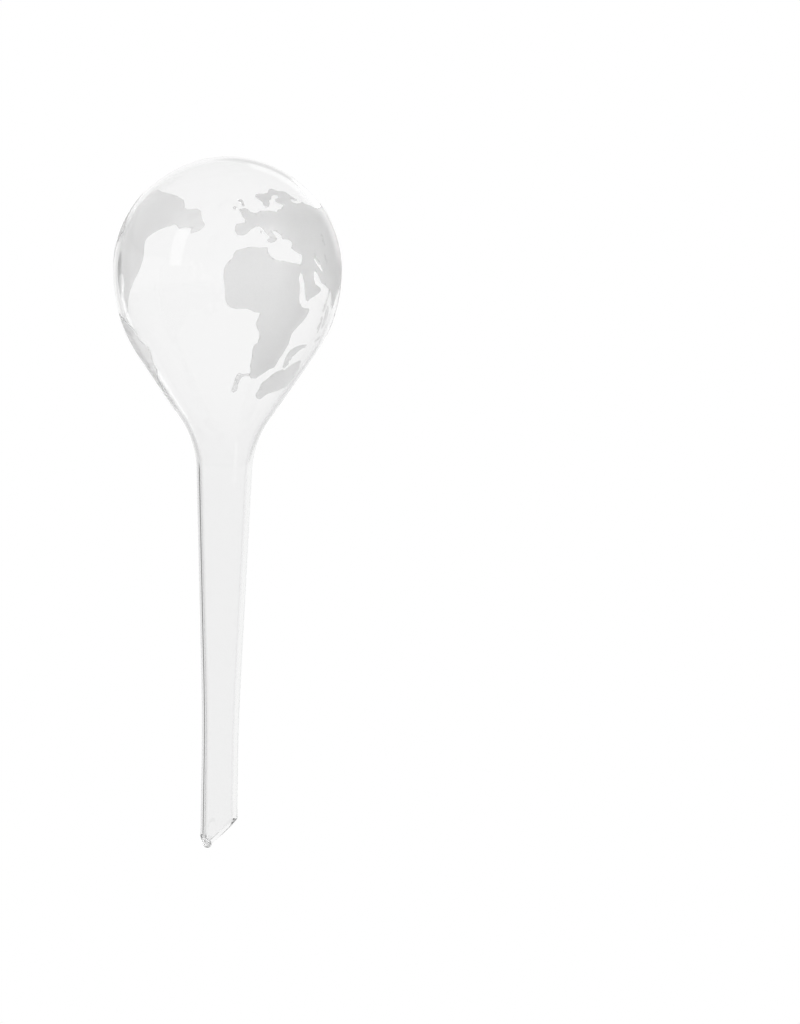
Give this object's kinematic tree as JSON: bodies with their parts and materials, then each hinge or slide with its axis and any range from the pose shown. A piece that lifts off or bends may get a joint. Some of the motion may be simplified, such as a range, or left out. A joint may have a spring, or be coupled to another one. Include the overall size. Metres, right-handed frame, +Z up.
{
  "type": "plant watering globe",
  "caption": "Clear blown-glass bulb on a tapered hollow glass stem with a slanted mouth, with a frosted world map; filled with water and pushed into soil, it waters a plant slowly.",
  "frame": {"origin": "on the axis of the glass at the middle of the neck, the line down to which the stem is pushed into the soil", "axes": "+Z up along the axis towards the crown of the bulb; -Y is the front of the map as it was pictured; +X, a little to the front, is the side the slanted mouth opens to, and the mouth's point is at -X"},
  "size_m": [0.0673, 0.0673, 0.2038],
  "materials": {
    "clear_glass": "clear blown glass, fire-polished, slightly grey where it is seen edge on",
    "frosted_enamel": "thin translucent matt enamel fired onto the glass, fine even frost"
  },
  "bodies": {
    "root": {"glass_bulb": "clear_glass", "glass_stem": "clear_glass", "mouth_rim": "clear_glass", "tip_bead": "clear_glass", "map_africa": "frosted_enamel", "map_europe": "frosted_enamel", "map_asia": "frosted_enamel", "map_britain": "frosted_enamel", "map_ireland": "frosted_enamel", "map_sardinia": "frosted_enamel", "map_sumatra": "frosted_enamel", "map_java": "frosted_enamel", "map_borneo": "frosted_enamel", "map_philippines": "frosted_enamel", "map_sulawesi": "frosted_enamel", "map_japan": "frosted_enamel", "map_australia": "frosted_enamel", "map_new_guinea": "frosted_enamel", "map_new_zealand": "frosted_enamel", "map_north_america": "frosted_enamel", "map_south_america": "frosted_enamel"}
  },
  "joints": []
}
